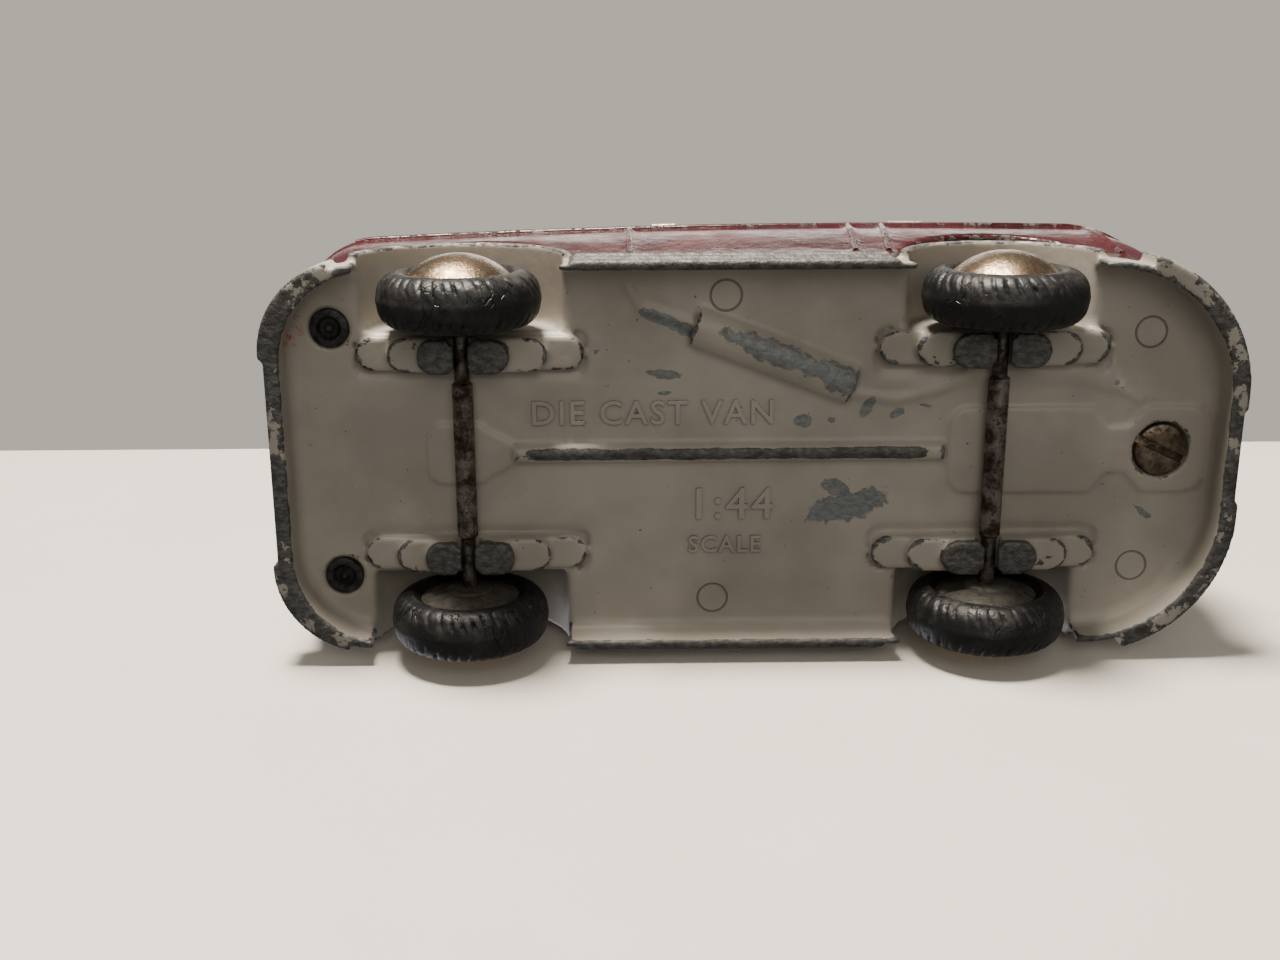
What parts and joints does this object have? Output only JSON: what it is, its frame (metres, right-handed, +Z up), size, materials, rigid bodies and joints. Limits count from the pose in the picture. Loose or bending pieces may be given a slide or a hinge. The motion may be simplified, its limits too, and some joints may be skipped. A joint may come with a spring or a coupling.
{
  "type": "toy delivery van",
  "caption": "Die-cast toy delivery van: hollow painted shell on a cast base tray, with glazing, and front and rear wheelsets that roll freely on bare axles.",
  "frame": {"origin": "on the ground under the middle of the van's bounding box", "axes": "+X forward, +Y to the van's left, +Z up; the van stands on its tyres at z = 0"},
  "size_m": [0.0976, 0.0432, 0.0455],
  "materials": {
    "body_paint": "aged maroon gloss enamel over die-cast zinc, worn to metal on its edges",
    "base_paint": "aged warm grey enamel over die-cast zinc, chipped along the rim",
    "clear_plastic": "clear moulded acetate, slightly yellowed",
    "lamp_jewel": "clear faceted plastic jewel",
    "screw_steel": "tarnished turned steel",
    "rivet_steel": "blackened steel",
    "axle_steel": "drawn steel with brown rust",
    "hub_zinc": "dark oxidised zinc casting",
    "tyre_rubber": "aged, cracked black rubber",
    "cap_nickel": "tarnished nickel-plated brass, domed"
  },
  "bodies": {
    "body": {"body_shell": "body_paint", "base_plate": "base_paint", "cab_glazing": "clear_plastic", "rear_glazing": "clear_plastic", "headlamp_left": "lamp_jewel", "headlamp_right": "lamp_jewel", "base_screw": "screw_steel", "rear_rivet_left": "rivet_steel", "rear_rivet_right": "rivet_steel"},
    "front_wheelset": {"front_axle": "axle_steel", "front_hub_left": "hub_zinc", "front_tyre_left": "tyre_rubber", "front_hub_cap_left": "cap_nickel", "front_hub_right": "hub_zinc", "front_tyre_right": "tyre_rubber", "front_hub_cap_right": "cap_nickel"},
    "rear_wheelset": {"rear_axle": "axle_steel", "rear_hub_left": "hub_zinc", "rear_tyre_left": "tyre_rubber", "rear_hub_cap_left": "cap_nickel", "rear_hub_right": "hub_zinc", "rear_tyre_right": "tyre_rubber", "rear_hub_cap_right": "cap_nickel"}
  },
  "joints": [
    {"name": "front_wheels_roll", "type": "hinge", "parent": "body", "child": "front_wheelset", "pos_m": [0.0244, 0, 0.0081], "axis": [0, 1, 0], "continuous": true},
    {"name": "rear_wheels_roll", "type": "hinge", "parent": "body", "child": "rear_wheelset", "pos_m": [-0.0292, 0, 0.0081], "axis": [0, 1, 0], "continuous": true}
  ]
}
